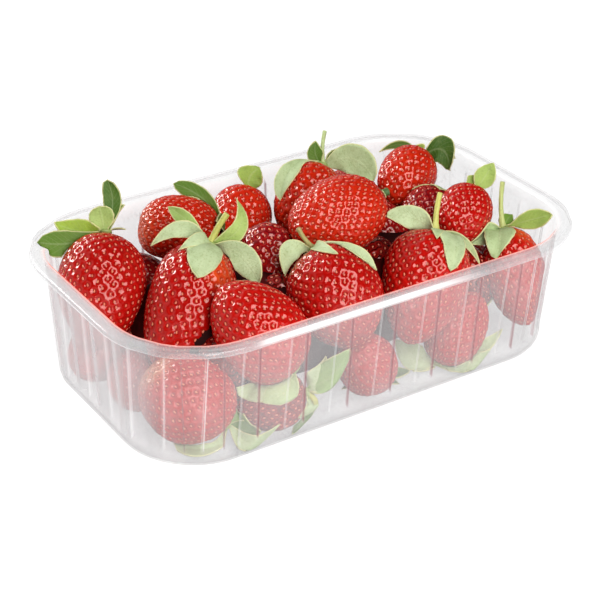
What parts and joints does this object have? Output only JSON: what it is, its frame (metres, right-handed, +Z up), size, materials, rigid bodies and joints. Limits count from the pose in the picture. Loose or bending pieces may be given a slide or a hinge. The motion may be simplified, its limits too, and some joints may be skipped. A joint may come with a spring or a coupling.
{
  "type": "punnet of strawberries",
  "caption": "Clear fluted plastic punnet with rounded corners and a flat rim, heaped with ripe strawberries that have green leaves and cut stalks.",
  "frame": {"origin": "middle of the footprint, on the underside of the tray's base", "axes": "+X along the punnet, +Y across it towards the back, +Z up"},
  "size_m": [0.187, 0.1154, 0.071],
  "materials": {
    "tray": "clear, slightly milky, glossy",
    "strawberries": "glossy red fruit with pale yellow seeds, green leaves"
  },
  "bodies": {
    "root": {"tray": "tray", "strawberries": "strawberries"}
  },
  "joints": []
}
